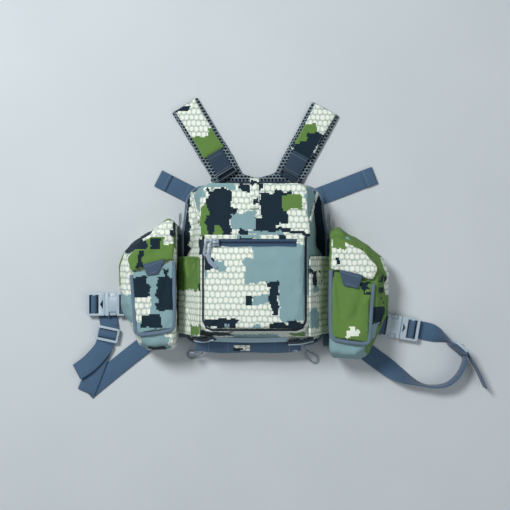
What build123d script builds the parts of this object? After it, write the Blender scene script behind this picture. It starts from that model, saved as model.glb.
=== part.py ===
from build123d import *
import math
import os

# Binocular harness pack, millimetres. It lies on its back: +X to the wearer's left as seen from the front,
# +Y up towards the shoulder yoke, +Z out of the front face. The origin is the centre of the back panel's
# resting face. Soft parts are simple closed solids; gaps of a few tenths keep neighbours clear.

SIDES = {"left": -1, "right": 1}
GAP = 0.3

# Webbing
WEB_W = 25.0
WEB_T = 1.7

# Back panel and the zipped rear compartment on it
BACK_W = 194.0
BACK_H = 214.0
BACK_R = 26.0
BACK_T = 12.0
GUSSET_TOP = 22.0
GUSSET_WALL = 6.0
TAPE_T = 1.2
COIL_T = 1.0

# Main pouch: a hollow box that narrows from the back to the front
POUCH_Z = (22.3, 86.0)
PROFILE_Z = (22.0, 95.0)
HALF_WIDTH = (93.0, 65.5)
LOW_EDGE = (-104.0, -82.0)
HIGH_EDGE = (104.0, 101.4)
CORNER_R = (20.0, 12.0)
POUCH_WALL = 4.0
MOUTH_Y = 40.0

# Front pocket and its zip
FACE_HALF = 65.5
FACE_LOW = -82.0
FACE_HIGH = 36.5
FACE_TOP = 95.0
ZIP_X = (-54.5, 54.5)
ZIP_Y = (24.5, 35.5)

# Lid
HINGE_Y = 37.0
LID_GROW = (1.4, 4.6)
LID_TOP = 95.0
LID_INNER_TOP = 91.0
TAB_W = 12.0

# Side pouches: u runs outward from the hinge line, v up along it
POUCH_HINGE_X = 104.0
POUCH_MID_Y = {"left": -24.0, "right": -36.0}
POUCH_DEPTH = 68.0
SIDE_WALL = 3.0
POUCH_OUTLINE = [(2, -86), (38, -88), (50, -80), (72, -28), (74, 22), (66, 42), (50, 60), (12, 85), (2, 80)]
PANEL_OUTLINE = [(5, -58), (54, -66), (60, 15), (5, 31)]
FLAP_OUTLINE = [(5, 32.5), (61, 16.5), (66, 34), (48, 55), (12, 76), (5, 72)]

# Side-release buckle, in its own frame: x pulls out, z through its thickness
BUCKLE_W = 31.5
BUCKLE_MID_Z = 8.0
FEMALE_L = 26.0
MALE_L = 26.0
BUCKLES = {"left": (-179.5, -54.0, 180.0), "right": (175.5, -81.5, -9.6)}

# Triglides: middle, direction of the webbing through it, and lean from lying flat
TRIGLIDE = (20.0, 31.0, 4.0)
TRIGLIDES = {"left": (-203.0, -95.5, 6.9, -102.0, 0.0), "right": (280.0, -113.0, 17.0, -40.0, -102.0)}

# Yoke
MESH_W = 42.0
MESH_T = 5.0
ARM_W = 33.0
ARMS = {
    "left": ((-36.0, 122.0), (-97.0, 222.0)),
    "right": ((46.0, 119.0), (99.0, 217.0)),
}
PATCH_LEN = 38.0

# Loose straps at the upper corners: root and tip of the middle line
UPPER_STRAPS = {
    "left": ((-93.0, 99.8), (-133.6, 120.6)),
    "right": ((94.2, 96.9), (166.9, 124.8)),
}


def save(name, shape):
    """One node of the assembly, as its own STEP file."""
    export_step(shape, f"parts/{name}.step")
    return shape


def between(pair, z):
    """Value at height z of a size that changes evenly from the back to the front of the pack."""
    share = (z - PROFILE_Z[0]) / (PROFILE_Z[1] - PROFILE_Z[0])
    return pair[0] + share * (pair[1] - pair[0])


def section(z, grow):
    """The pack's outline at height z, grown outward all round."""
    half, low, high = between(HALF_WIDTH, z), between(LOW_EDGE, z), between(HIGH_EDGE, z)
    face = RectangleRounded(2 * (half + grow), high - low + 2 * grow, between(CORNER_R, z) + grow)
    return Pos(0, (low + high) / 2, z) * face


def tapered(z_low, z_high, grow):
    return loft([section(z_low, grow), section(z_high, grow)], ruled=True)


def prism(points, z_low, z_high):
    """Straight block on an outline of points in the XY plane."""
    face = make_face(Polyline(*points, close=True))
    return Pos(0, 0, z_low) * extrude(face, z_high - z_low, dir=(0, 0, 1))


def rounded_prism(points, z_low, z_high, radius):
    body = prism(points, z_low, z_high)
    return fillet(body.edges().filter_by(Axis.Z), radius)


def side_cut(points, half):
    """Block on an outline of (y, z) points, reaching half to each side of the middle."""
    face = make_face(Polyline(*[(0, y, z) for y, z in points], close=True))
    return extrude(face, half, dir=(1, 0, 0), both=True)


def block(x, y, z):
    """Box from three (low, high) pairs."""
    size = [pair[1] - pair[0] for pair in (x, y, z)]
    middle = [(pair[0] + pair[1]) / 2 for pair in (x, y, z)]
    return Pos(*middle) * Box(*size)


def ribbon(points, width):
    """Face of an even band along a line of points, with mitred corners."""
    left, right = [], []
    for i, (x, y) in enumerate(points):
        before = points[max(i - 1, 0)]
        after = points[min(i + 1, len(points) - 1)]
        here = Vector(x, y)
        a = (here - Vector(*before)).normalized() if i else (Vector(*after) - here).normalized()
        b = (Vector(*after) - here).normalized() if i < len(points) - 1 else a
        normal = (a + b).normalized().rotate(Axis.Z, 90)
        reach = width / 2 / math.cos(a.get_angle(b) * math.pi / 360)
        left.append(here + normal * reach)
        right.append(here - normal * reach)
    return make_face(Polyline(*left, *reversed(right), close=True))


def band(points, width, z_low, z_high):
    """Flat webbing lying along a line of points, or a strip on its edge when it is narrow and tall."""
    return Pos(0, 0, z_low) * extrude(ribbon(points, width), z_high - z_low, dir=(0, 0, 1))


def tube(route, radius, bends):
    """Round cord along a route of straight runs joined by arcs."""
    path = FilletPolyline(*route, radius=bends)
    profile = Plane(origin=path @ 0, z_dir=path % 0) * Circle(radius)
    return sweep(profile, path=path)


# Back panel, zipped gusset of the rear compartment, its zip, and the piping above it
def back_panel():
    body = extrude(RectangleRounded(BACK_W, BACK_H, BACK_R), BACK_T)
    return fillet(body.edges().group_by(Axis.Z)[-1], 3)


def ring(outer_grow, inner_grow, z_low, z_high):
    outer = RectangleRounded(BACK_W + 2 * outer_grow, BACK_H + 2 * outer_grow, BACK_R + outer_grow)
    inner = RectangleRounded(BACK_W + 2 * inner_grow, BACK_H + 2 * inner_grow, BACK_R + inner_grow)
    return Pos(0, 0, z_low) * extrude(outer - inner, z_high - z_low)


def rear_gusset():
    return ring(-1, -1 - GUSSET_WALL, BACK_T + GAP, GUSSET_TOP)


def perimeter_zip():
    """Tape with its coil on both sides and the bottom; the top edge of the compartment is sewn."""
    tape = ring(TAPE_T - 1 + GAP, GAP - 1, 13.5, 20.5)
    zip_ring = tape + ring(TAPE_T + COIL_T - 1, TAPE_T - 1, 15.8, 18.2)
    return zip_ring - block((-120, 120), (62, 120), (10, 25))


def perimeter_piping():
    bead = ring(2.4, -0.6, GUSSET_TOP + GAP, GUSSET_TOP + 3)
    open_pack = bead - tapered(GUSSET_TOP - 1, GUSSET_TOP + 6, 0.6)
    return open_pack.solids().sort_by(SortBy.VOLUME)[-1]


# Main pouch with its mouth at the top
def main_pouch():
    low, high = POUCH_Z
    shell = tapered(low, high, 0) - tapered(low + POUCH_WALL, high - POUCH_WALL, -POUCH_WALL)
    inside = between(HALF_WIDTH, high) - POUCH_WALL
    front_cut = block((-inside, inside), (MOUTH_Y, 96), (60, 120))
    rim = side_cut([(MOUTH_Y, 120), (MOUTH_Y, 85.9), (62, 85.9), (99, 62), (130, 62), (130, 120)], 120)
    return shell - front_cut - rim


def stretch_pocket():
    """Right-hand pocket on the slanting side wall, open at the top, on the pouch wall as its back."""
    def wall(z):
        return between(HALF_WIDTH, z) + GAP

    outer = [(wall(26), 26), (103, 26), (103, 28.5), (72.5, 84), (wall(84), 84)]
    inner = [(wall(28.6) + 0.1, 28.6), (100.2, 28.6), (100.2, 29.3), (74.8, 76), (wall(76) + 0.1, 76)]
    shape = extrude(make_face(Polyline(*[(x, 0, z) for x, z in outer], close=True)), 102, dir=(0, 1, 0))
    hollow = extrude(make_face(Polyline(*[(x, 0, z) for x, z in inner], close=True)), 100, dir=(0, 1, 0))
    return Pos(0, -92, 0) * (shape - Pos(0, 3, 0) * hollow)


def front_pocket():
    body = block((-FACE_HALF, FACE_HALF), (FACE_LOW, FACE_HIGH), (POUCH_Z[1] + GAP, FACE_TOP))
    body = fillet(body.edges().filter_by(Axis.Z).group_by(Axis.Y)[0], 14)
    return body - block(ZIP_X, ZIP_Y, (FACE_TOP - 3, FACE_TOP + 1))


def front_zip_tape():
    across = (ZIP_X[0] + GAP, ZIP_X[1] - GAP)
    up = (ZIP_Y[0] + GAP, ZIP_Y[1] - GAP)
    tape = block(across, up, (FACE_TOP - 2.9, FACE_TOP - 0.6))
    coil = block((ZIP_X[0] + 1, ZIP_X[1] - 1), (28.2, 31.8), (FACE_TOP - 0.6, FACE_TOP + 0.8))
    return tape + coil


def slider(length, width, height):
    """Zip slider: a rounded body with a bridge over it, the slide direction along x."""
    body = fillet(Box(length, width, height).edges().filter_by(Axis.Z), 1.6)
    arch = Box(length * 0.8, 2.4, 2.4) - Pos(0, 0, -0.5) * Box(3.2, 3, 1.4)
    bridge = Pos(0, 0, height / 2 + 1.2) * arch
    return body + bridge


def front_zip_pull():
    """Oval ring with a ribbed tail, lying down from the slider."""
    oval = extrude(SlotOverall(22, 9.0) - SlotOverall(17.4, 4.4), 1.6)
    link = Pos(-60.4, 23.0, 98.0) * Rot(0, 0, 80) * oval
    tail_face = ribbon([(-60.8, 15.5), (-56.5, 5.5), (-48.0, -3.0)], 5.4)
    tail = Pos(0, 0, 97.2) * extrude(tail_face, 2.8, dir=(0, 0, 1))
    return link + fillet(tail.edges().filter_by(Axis.Z), 1.2)


# Lid: a cap with a top wall and two triangular side skirts, hinged along its front edge
def lid():
    outer = tapered(30, LID_TOP, LID_GROW[1])
    inner = tapered(29, LID_INNER_TOP, LID_GROW[0])
    kept = [(HINGE_Y + 1, 100), (HINGE_Y + 1, 90.6), (58, 90.6), (96, 43), (125, 43), (125, 100)]
    return (outer - inner) & side_cut(kept, 130)


def lid_tab():
    flat = block((-TAB_W / 2, TAB_W / 2), (73, 112.6), (LID_TOP + GAP, LID_TOP + 2.0))
    drop = block((-TAB_W / 2, TAB_W / 2), (110.9, 112.6), (78, LID_TOP + 2.0))
    return flat + drop


# Bottom of the pack
def bottom_webbing():
    """Webbing with three sewn stations and two open loops between them, standing off the bottom wall."""
    face = block((-80, 62), (-113.5, -111.8), (24, 44))
    for x in (-78, -9, 60):
        face += block((x - 2, x + 2), (-111.8, -106.2), (28, 40))
    return face


def corner_tab(x_low, x_high):
    return block((x_low, x_high), (-113.6, -107.4), (46, 58))


def bottom_pull():
    return fillet(block((-88, -80.6), (-119.5, -117), (24, 34)).edges().filter_by(Axis.Y), 2)


def bottom_ring():
    hoop = extrude(Circle(6.5) - Circle(4.2), 2.4)
    return Pos(55, -114.2, 26) * Rot(90, 0, 0) * hoop


# Side pouch, in its own frame: x = u outward, y = v up
def side_pouch():
    outer = rounded_prism(POUCH_OUTLINE, 0, POUCH_DEPTH, 6)
    outer = fillet(outer.edges().group_by(Axis.Z)[-1], 5)
    inner_points = offset(make_face(Polyline(*POUCH_OUTLINE, close=True)), -SIDE_WALL)
    inner = Pos(0, 0, SIDE_WALL) * extrude(inner_points, POUCH_DEPTH - 2 * SIDE_WALL, dir=(0, 0, 1))
    mouth = offset(make_face(Polyline(*FLAP_OUTLINE, close=True)), -6)
    return outer - inner - Pos(0, 0, POUCH_DEPTH - 8) * extrude(mouth, 20, dir=(0, 0, 1))


def pouch_panel():
    return rounded_prism(PANEL_OUTLINE, POUCH_DEPTH + GAP, POUCH_DEPTH + 4.8, 5)


def pouch_flap():
    return rounded_prism(FLAP_OUTLINE, POUCH_DEPTH + GAP, POUCH_DEPTH + 4.2, 4)


def flap_tab():
    outline = [(17, 36), (45, 28), (39, 11), (25, 15)]
    return rounded_prism(outline, POUCH_DEPTH + 5.2, POUCH_DEPTH + 7.0, 2.5)


def pouch_hinge():
    """Sewn strip that joins the pouch to the edge of the back panel."""
    return block((-5.2, 1.7), (-76, 72), (3.4, 6.6))


def placed(shape, side):
    """A side-pouch piece, built for the right, put on its side of the pack."""
    if side == "left":
        shape = mirror(shape, Plane.YZ)
    return Pos(SIDES[side] * POUCH_HINGE_X, POUCH_MID_Y[side], 0) * shape


# Side-release buckle, in its own frame
def buckle_female():
    half = BUCKLE_W / 2
    end = block((0, 8), (-half, half), (-5, 5)) - block((2.5, 6.6), (-13.2, 13.2), (-6, 6))
    end -= block((-1, 3), (-13.2, 13.2), (2.4, 6)) + block((-1, 3), (-13.2, 13.2), (-6, -2.4))
    plates = block((8, FEMALE_L), (-half, half), (3.2, 5)) + block((8, FEMALE_L), (-half, half), (-5, -3.2))
    notch = rounded_prism([(10, 10.2), (21, 10.2), (21, 20), (10, 20)], -6, 6, 2)
    plates -= notch + mirror(notch, Plane.XZ)
    return end + plates


def buckle_male():
    low, high, half = FEMALE_L + 0.4, FEMALE_L + MALE_L, BUCKLE_W / 2
    frame = rounded_prism([(low, -half), (high, -half), (high, half), (low, half)], -3, 3, 3)
    frame -= block((high - 8.4, high - 3.6), (-13, 13), (-4, 4))
    frame -= block((high - 16.6, high - 11.8), (-13, 13), (-4, 4))
    frame -= prism([(high - 18.4, 0), (high - 22.6, 6.5), (high - 22.6, -6.5)], -4, 4)
    return frame + block((11, low), (-2.4, 2.4), (-2.4, 2.4))


def release_arm():
    """The upper of the two latch arms; the outer bump is pressed by a finger."""
    root = [(20.5, 7), (25.9, 7), (25.9, 10.5), (21.6, 11)]
    bump = [(19.4, 15.4), (12.0, 15.4), (9.2, 11.5), (9.2, 8.6)]
    arm = prism(root + bump, -2.6, 2.6)
    return fillet(arm.edges().filter_by(Axis.Z).group_by(Axis.X)[0], 1)


def buckle_loop():
    """Webbing loop of the pouch round the buckle's end bar."""
    sides = block((-0.8, 5.3), (-12.5, 12.5), (2.7, 4.4)) + block((-0.8, 5.3), (-12.5, 12.5), (-4.4, -2.7))
    return sides + block((3.6, 5.3), (-12.5, 12.5), (-4.4, 4.4))


def bar_wrap():
    """Strap round the middle bar of the male half, open below where the strap leaves it."""
    high = FEMALE_L + MALE_L
    wrap = block((high - 13.9, high - 6.3), (-12.4, 12.4), (3.4, 5.0))
    wrap += block((high - 13.9, high - 12.3), (-12.4, 12.4), (-6.6, 5.0))
    return wrap + block((high - 7.9, high - 6.3), (-12.4, 12.4), (-6.6, 5.0))


def at_buckle(shape, side):
    x, y, turn = BUCKLES[side]
    return Pos(x, y, BUCKLE_MID_Z) * Rot(0, 0, turn) * shape


def triglide():
    length, width, thick = TRIGLIDE
    frame = fillet(Box(length, width, thick).edges().filter_by(Axis.Z), 2.5)
    window = Box(length - 6.4, width - 5.6, thick + 2)
    return frame - window + Box(3.2, width - 5, thick * 0.7)


def at_triglide(shape, side):
    x, y, z, turn, lean = TRIGLIDES[side]
    return Pos(x, y, z) * Rot(0, 0, turn) * Rot(lean, 0, 0) * shape


# Lower straps: a sewn end on the pouch and the free webbing with its folds
def strap_end(side):
    line = {
        "left": [(-159.5, -116.0), (-177.0, -130.0)],
        "right": [(157.0, -121.0), (175.0, -134.5)],
    }[side]
    return band(line, WEB_W, 0.2, 0.2 + WEB_T)


def strap_layer():
    """Lower layer of the strap through a triglide, in the triglide's frame."""
    return block((-13, 13), (-12.4, 12.4), (-4.1, -2.5))


def triglide_wrap():
    """Strap up through the triglide's windows and over its middle bar."""
    wrap = block((-4.6, 13), (-12.4, 12.4), (2.4, 4.0))
    for x in (-4.6, 3.0):
        wrap += block((x, x + 1.6), (-12.4, 12.4), (-4.1, 4.0))
    return wrap + strap_layer()


def strap_free_left():
    """Flat strap to its fold, back through the adjuster to the buckle, and the loose end."""
    lower = band([(-178.5, -131.2), (-206.0, -153.5), (-233.0, -176.0)], WEB_W, 0.2, 2.0)
    fold = [(-233.0, -176.0), (-219.0, -139.0), (-205.5, -104.0), (-202.0, -87.0), (-204.0, -74.5)]
    back = band(fold, WEB_W, 2.8, 4.4)
    turn = band([(-227.5, -171.4), (-233.5, -176.4)], WEB_W, 0.2, 4.4)
    step = band([(-203.6, -76.5), (-204.2, -73.0)], WEB_W, 0.2, 4.4)
    under = band([(-204.0, -75.0), (-204.5, -41.5)], WEB_W, 0.2, 1.6)
    run = band([(-232.0, -54.0), (-204.5, -54.0)], WEB_W, 0.2, 1.6)
    end = [(-204.0, -99.0), (-212.0, -117.0), (-230.0, -137.0), (-245.0, -148.0)]
    tail = band(end, WEB_W - 1, 9.3, 10.9)
    return lower + back + turn + step + under + run + tail


def strap_free_right():
    """Strap turning onto its edge, round to the adjuster and the buckle, and the loose end."""
    flat = band([(176.2, -135.4), (204.0, -154.0), (232.0, -164.5)], WEB_W, 0.2, 2.0)
    loop = [(226.0, -162.5), (246.0, -166.5), (264.0, -164.0), (277.0, -155.0)]
    loop += [(285.0, -143.0), (288.8, -132.0), (287.3, -123.2)]
    on_edge = band(loop, WEB_T, 0.2, 25.0)
    out = band([(212.0, -87.6), (236.0, -92.5), (262.0, -101.0)], WEB_W, 0.2, 1.9)
    rise = band([(252.0, -97.8), (262.0, -101.5), (268.9, -107.9)], WEB_T, 0.2, 25.0)
    tail = band([(290.6, -117.8), (297.0, -127.0), (305.0, -143.0), (317.0, -168.0)], WEB_T, 3.0, 24.0)
    return flat + on_edge + out + rise + tail


# Shoulder yoke
def along(points, distance):
    """The point at a distance along the line from the first point towards the second."""
    start, end = Vector(*points[0]), Vector(*points[1])
    point = start + (end - start).normalized() * distance
    return point.X, point.Y


def yoke_mesh():
    """Two arms joined by a web of spacer mesh that ends just above the pack."""
    z_low, z_high = 0.2, 0.2 + MESH_T
    arms = [band([along(ARMS[s], -4), ARMS[s][1]], MESH_W, z_low, z_high) for s in SIDES]
    neck = [(-62, 116), (66, 116), (52, 142), (30, 132), (4, 128), (-22, 132), (-44, 142)]
    web = prism(neck, z_low, z_high)
    whole = arms[0] + arms[1] + web
    return whole - block((-160, 160), (60, 113.5), (-1, 9))


def yoke_overlay(side):
    foot, tip = ARMS[side]
    line = [along(ARMS[side], PATCH_LEN), along((tip, foot), 1)]
    return band(line, ARM_W, 0.5 + MESH_T, 4.2 + MESH_T)


def yoke_webbing(side):
    line = [along(ARMS[side], 6), along(ARMS[side], PATCH_LEN - GAP)]
    return band(line, WEB_W, 0.5 + MESH_T, 2.4 + MESH_T)


def ladder_lock(side):
    foot = along(ARMS[side], 4.5)
    run, rise = (tip - root for root, tip in zip(*ARMS[side]))
    turn = math.degrees(math.atan2(rise, run))
    frame = fillet(Box(9, 30, 4).edges().filter_by(Axis.Z), 1.5) - Box(5.0, 25.6, 6)
    return Pos(*foot, MESH_T + 5.2) * Rot(0, 0, turn) * frame


def upper_strap(side):
    return band(UPPER_STRAPS[side], WEB_W, 0.3, 0.3 + WEB_T)


# Pull cords of the perimeter zip
UPPER_CORD = [
    (0, 0, 0),
    (0.6, 6.0, -2.4),
    (0.4, 13.0, -3.6),
    (0.9, 20.0, -1.2),
    (0.6, 21.5, 4.4),
    (0.2, 15.0, 6.2),
    (0, 8.0, 5.2),
    (0.2, 2.5, 2.9),
]
LOWER_CORD = [
    (0, 0, 0),
    (2.5, -3.5, -4.5),
    (8.0, -5.5, -10.5),
    (14.5, -8.0, -14.2),
    (18.0, -15.0, -15.0),
    (12.0, -20.5, -15.0),
    (5.5, -16.0, -14.6),
    (1.2, -9.5, -10.5),
    (-1.8, -4.0, -5.0),
]


def cord_loop(route, at, flip):
    points = [(at[0] + flip * x, at[1] + y, at[2] + z) for x, y, z in route]
    bends = []
    for a, b, c in zip(points, points[1:], points[2:]):
        first, second = Vector(*b) - Vector(*a), Vector(*c) - Vector(*b)
        half_turn = math.radians(first.get_angle(second)) / 2
        bends.append(round(0.45 * min(first.length, second.length) / math.tan(half_turn), 2))
    print("cord loop radii", bends)
    return tube(points, 1.0, bends)


def build():
    os.makedirs("parts", exist_ok=True)
    save("back_panel", back_panel())
    save("rear_gusset", rear_gusset())
    save("perimeter_zip", perimeter_zip())
    save("perimeter_piping", perimeter_piping())
    save("main_pouch", main_pouch())
    save("front_pocket", front_pocket())
    save("front_zip_tape", front_zip_tape())
    save("front_zip_slider", Pos(-49.3, 30, 98.2) * slider(8.5, 9.5, 4))
    save("front_zip_pull", front_zip_pull())
    save("lid", lid())
    save("lid_tab", lid_tab())
    save("bottom_webbing", bottom_webbing())
    save("corner_tab_left", corner_tab(-74, -52))
    save("corner_tab_right", corner_tab(40, 60))
    save("bottom_pull", bottom_pull())
    save("bottom_ring", bottom_ring())
    save("yoke_mesh", yoke_mesh())
    lower_sliders = []
    for side, sign in SIDES.items():
        pocket = stretch_pocket()
        save(f"stretch_pocket_{side}", pocket if sign > 0 else mirror(pocket, Plane.YZ))
        save(f"side_pouch_{side}", placed(side_pouch(), side))
        save(f"pouch_panel_{side}", placed(pouch_panel(), side))
        save(f"pouch_flap_{side}", placed(pouch_flap(), side))
        save(f"flap_tab_{side}", placed(flap_tab(), side))
        save(f"pouch_hinge_{side}", placed(pouch_hinge(), side))
        save(f"buckle_female_{side}", at_buckle(buckle_female(), side))
        save(f"buckle_male_{side}", at_buckle(buckle_male(), side))
        save(f"buckle_loop_{side}", at_buckle(buckle_loop(), side))
        save(f"release_arm_a_{side}", at_buckle(release_arm(), side))
        save(f"release_arm_b_{side}", at_buckle(mirror(release_arm(), Plane.XZ), side))
        save(f"strap_end_{side}", strap_end(side))
        strap = strap_free_left() if side == "left" else strap_free_right()
        strap += at_buckle(bar_wrap(), side) + at_triglide(triglide_wrap(), side)
        save(f"strap_free_{side}", strap)
        save(f"triglide_{side}", at_triglide(triglide(), side))
        save(f"yoke_overlay_{side}", yoke_overlay(side))
        save(f"yoke_webbing_{side}", yoke_webbing(side))
        save(f"ladder_lock_{side}", ladder_lock(side))
        save(f"upper_strap_{side}", upper_strap(side))
        rail = BACK_W / 2 + TAPE_T + COIL_T - 1 + 0.3
        upper = Pos(sign * (rail + 1.5), 46, 17) * Rot(0, sign * 90, 90) * slider(8.5, 6.5, 3)
        save(f"zip_slider_{side}", upper)
        save(f"zip_cord_{side}", cord_loop(UPPER_CORD, (sign * (rail + 4.5), 51.4, 17), sign))
        lower_sliders.append(Pos(sign * 72, -BACK_H / 2 - 3.1, 17) * Rot(90, 0, 0) * slider(8.5, 6.5, 3))
        save(f"lower_cord_{side}", cord_loop(LOWER_CORD, (sign * 72, -BACK_H / 2 - 9.6, 17), sign))
    save("lower_zip_sliders", Compound(children=lower_sliders))


build()
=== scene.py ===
import math
from contextlib import contextmanager

import bmesh
import bpy
from mathutils import Matrix, Vector, noise


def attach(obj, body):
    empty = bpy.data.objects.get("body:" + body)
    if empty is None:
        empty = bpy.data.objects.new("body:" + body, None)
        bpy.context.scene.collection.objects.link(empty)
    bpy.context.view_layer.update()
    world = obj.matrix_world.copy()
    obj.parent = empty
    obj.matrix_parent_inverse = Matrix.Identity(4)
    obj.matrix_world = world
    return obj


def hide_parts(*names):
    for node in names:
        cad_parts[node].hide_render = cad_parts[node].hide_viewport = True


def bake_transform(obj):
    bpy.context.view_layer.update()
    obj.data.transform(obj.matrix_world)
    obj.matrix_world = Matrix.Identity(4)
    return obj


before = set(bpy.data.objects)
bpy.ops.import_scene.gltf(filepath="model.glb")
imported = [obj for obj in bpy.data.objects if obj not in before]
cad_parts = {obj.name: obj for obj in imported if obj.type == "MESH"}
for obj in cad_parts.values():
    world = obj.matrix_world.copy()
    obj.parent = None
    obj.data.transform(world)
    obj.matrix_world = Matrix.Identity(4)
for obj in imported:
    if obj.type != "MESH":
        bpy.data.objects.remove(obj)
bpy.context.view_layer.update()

MM = 0.001
SIDES = {"left": -1, "right": 1}
UP = Vector((0, 0, 1))

# Sizes in mm
WEB = 25  # width of the webbing
STITCH = (2.3, 0.55, 0.5)  # a stitch along, across and above the cloth
ON_FLOOR = 0.2  # lowest point of cloth that lies on the floor
BACK_TOP, FOOT, FRONT_TOP = 12, 22, 95  # heights of the back pad and of the main pouch's two ends
POUCH_TOP, PANEL_TOP = 68, 73  # heights of a side pouch and of its front pocket
ZIP_Z = 17.0  # height of the long zip


# ---- node trees
def rgb(code):
    """Linear colour of an sRGB hex code."""
    parts = [int(code[i:i + 2], 16) / 255 for i in (0, 2, 4)]
    return tuple(c / 12.92 if c <= 0.04045 else ((c + 0.055) / 1.055) ** 2.4 for c in parts) + (1.0,)


class Graph:
    """Short way to write a node tree."""

    def __init__(self, tree):
        self.tree = tree

    def add(self, kind, *values, out=0, inputs=None, **settings):
        node = self.tree.nodes.new(kind)
        for key, value in settings.items():
            setattr(node, key, value)
        pairs = list(zip([s for s in node.inputs if s.enabled], values))
        pairs += [(node.inputs[key], value) for key, value in (inputs or {}).items()]
        for socket, value in pairs:
            self.put(socket, value)
        return node.outputs[out]

    def put(self, socket, value):
        if isinstance(value, bpy.types.NodeSocket):
            self.tree.links.new(value, socket)
        else:
            socket.default_value = value

    def math(self, operation, *values):
        return self.add("ShaderNodeMath", *values, operation=operation)

    def vector(self, operation, *values):
        return self.add("ShaderNodeVectorMath", *values, operation=operation)

    def plus(self, a, b):
        return self.math("ADD", a, b)

    def times(self, a, b):
        return self.math("MULTIPLY", a, b)

    def off_middle(self, value):
        """How far a value's fraction is from a half."""
        return self.math("ABSOLUTE", self.math("SUBTRACT", self.math("FRACT", value), 0.5))

    def mix(self, factor, a, b):
        """Mix of two colours."""
        node = self.tree.nodes.new("ShaderNodeMix")
        node.data_type = "RGBA"
        for index, value in ((0, factor), (6, a), (7, b)):
            self.put(node.inputs[index], value)
        return node.outputs[2]

    def ramp(self, value, *stops):
        node = self.tree.nodes.new("ShaderNodeValToRGB")
        self.put(node.inputs[0], value)
        marks = node.color_ramp.elements
        while len(marks) < len(stops):
            marks.new(0.5)
        for mark, (place, colour) in zip(marks, stops):
            mark.position = place
            mark.color = colour
        return node.outputs[0]

    def noise(self, vector, scale, detail=2.0, out=0):
        values = {"Vector": vector, "Scale": scale, "Detail": detail}
        return self.add("ShaderNodeTexNoise", inputs=values, out=out)

    def drift(self, place, scale, detail, reach):
        """A place shifted by soft noise, at most about half of reach."""
        shift = self.vector("SUBTRACT", self.noise(place, scale, detail, out=1), (0.5, 0.5, 0.5))
        return self.vector("ADD", place, self.vector("MULTIPLY", shift, reach))

    def place(self):
        """A point's place in the object."""
        return self.add("ShaderNodeTexCoord", out=3)

    def panel(self):
        """A point's place on the laid-out cloth."""
        return self.add("ShaderNodeUVMap", uv_map="panel")

    def split(self, vector):
        node = self.tree.nodes.new("ShaderNodeSeparateXYZ")
        self.put(node.inputs[0], vector)
        return node.outputs[0], node.outputs[1], node.outputs[2]

    def wave(self, value, pitch):
        """Sine of a length, one turn each pitch, from 0 to 1."""
        turn = self.math("SINE", self.times(value, math.tau / pitch))
        return self.math("MULTIPLY_ADD", turn, 0.5, 0.5)


def material(name):
    made = bpy.data.materials.new(name)
    made.use_nodes = True
    made.node_tree.nodes.clear()
    return made, Graph(made.node_tree)


def surface(g, colour, roughness, height, depth, metallic=0.0, sheen=0.0, shine=0.25):
    """Principled surface with a bump of depth mm."""
    shader = g.tree.nodes.new("ShaderNodeBsdfPrincipled")
    values = {"Base Color": colour, "Roughness": roughness, "Metallic": metallic, "Sheen Weight": sheen}
    values.update({"Sheen Roughness": 0.5, "Specular IOR Level": shine})
    for key, value in values.items():
        g.put(shader.inputs[key], value)
    bump = g.tree.nodes.new("ShaderNodeBump")
    for key, value in {"Strength": 1.0, "Distance": depth * MM, "Height": height}.items():
        g.put(bump.inputs[key], value)
    g.put(shader.inputs["Normal"], bump.outputs[0])
    end = g.tree.nodes.new("ShaderNodeOutputMaterial")
    g.put(end.inputs[0], shader.outputs[0])


def patch_group():
    """Node group: 1 inside an upright rectangle, 0 outside it."""
    tree = bpy.data.node_groups.new("patch", "ShaderNodeTree")
    for name in ("Place", "Centre", "Half"):
        tree.interface.new_socket(name, in_out="INPUT", socket_type="NodeSocketVector")
    tree.interface.new_socket("Mask", in_out="OUTPUT", socket_type="NodeSocketFloat")
    g = Graph(tree)
    start = tree.nodes.new("NodeGroupInput")
    end = tree.nodes.new("NodeGroupOutput")
    away = g.vector("ABSOLUTE", g.vector("SUBTRACT", start.outputs[0], start.outputs[1]))
    x, y, _ = g.split(g.vector("DIVIDE", away, start.outputs[2]))
    g.put(end.inputs[0], g.math("LESS_THAN", g.math("MAXIMUM", x, y), 1.0))
    return tree


PATCH = patch_group()
TINTS = {"dark": "0f2431", "green": "5c7f3e", "teal": "7d9da2", "cream": "dde4d8"}


def bricks(g, place, width, height, corner):
    """Staggered rows of cells: 0 in the middle of a cell, 1 at its sides."""
    x, y, _ = g.split(place)
    row = g.math("DIVIDE", y, height * MM)
    shift = g.times(g.math("FLOORED_MODULO", g.math("FLOOR", row), 2.0), 0.5)
    column = g.plus(g.math("DIVIDE", x, width * MM), shift)
    away = [g.off_middle(value) for value in (column, row)]
    powers = [g.math("POWER", value, corner) for value in away]
    return g.times(g.math("POWER", g.plus(*powers), 1.0 / corner), 2.0)


def weave(g, place):
    """Height of a plain weave, 0 to 1."""
    pitch = 0.9 * MM
    x, y, _ = g.split(place)
    return g.times(g.wave(x, pitch), g.wave(y, pitch))


def toned(code, share):
    """Colour of a hex code, made darker or lighter."""
    return tuple(Vector(rgb(code)[:3]) * share) + (1.0,)


def cloth_tint(g, place, code, spread=0.10):
    """A dyed cloth colour with soft uneven tone."""
    return g.mix(g.noise(place, 45.0, 4.0), toned(code, 1 - spread), toned(code, 1 + spread))


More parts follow.
